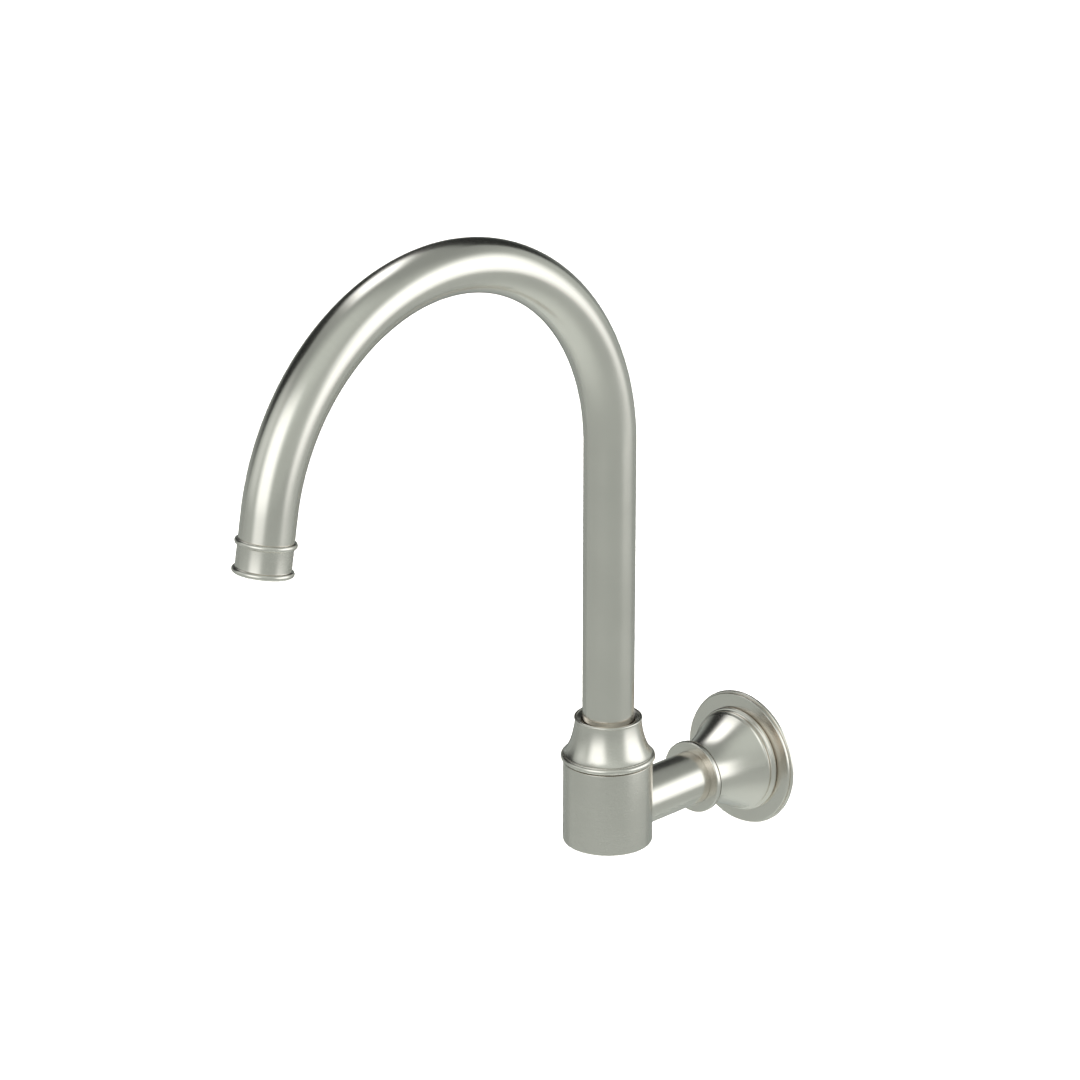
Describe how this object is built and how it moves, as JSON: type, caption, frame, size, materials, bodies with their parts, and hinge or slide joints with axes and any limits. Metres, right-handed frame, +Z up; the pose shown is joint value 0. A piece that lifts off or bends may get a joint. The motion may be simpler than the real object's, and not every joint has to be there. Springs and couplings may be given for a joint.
{
  "type": "wall mounted bath faucet",
  "caption": "Wall mounted bath faucet: a horizontal arm with a flared wall flange carries a vertical swivel body, a flared cap nut and a tall gooseneck spout ending in a beaded aerator outlet.",
  "frame": {"origin": "the point where the arm's axis meets the wall face, which is also the root of the inlet thread", "axes": "+Y into the wall along the arm, +Z up along the swivel axis, +X to the right seen from the room facing the wall"},
  "size_m": [0.0604, 0.3018, 0.3007],
  "materials": {
    "brushed_nickel": "satin brushed nickel plate over brass",
    "raw_brass": "machined, unplated",
    "stainless": "plain stainless steel",
    "seal_rubber": "smooth black EPDM",
    "foam_rubber": "closed-cell foam",
    "acetal": "natural acetal"
  },
  "bodies": {
    "fixed_arm": {"wall_nipple": "raw_brass", "nipple_o_rings": "seal_rubber", "arm_socket": "raw_brass", "arm_set_screw": "stainless", "arm_tube": "brushed_nickel", "swivel_body": "brushed_nickel", "stop_pin": "stainless", "lower_glide_ring": "acetal", "upper_glide_ring": "acetal", "gland_nut": "raw_brass", "cap_nut": "brushed_nickel"},
    "spout": {"spout_tube": "brushed_nickel", "spout_spigot": "raw_brass", "spigot_o_rings": "seal_rubber", "outlet_nozzle": "brushed_nickel", "aerator_washer": "seal_rubber", "aerator_housing": "stainless", "aerator_screen": "stainless", "flow_straightener": "acetal"},
    "flange": {"wall_flange": "brushed_nickel", "flange_collar": "brushed_nickel", "collar_grip_ring": "seal_rubber", "wall_gasket": "foam_rubber"}
  },
  "joints": [
    {"name": "spout_swivel", "type": "hinge", "parent": "fixed_arm", "child": "spout", "pos_m": [0, -0.0853, 0.03], "axis": [0, 0, 1], "range_deg": [-90, 90]},
    {"name": "flange_slide", "type": "slide", "parent": "fixed_arm", "child": "flange", "axis": [0, -1, 0], "range_m": [0, 0.03]}
  ]
}
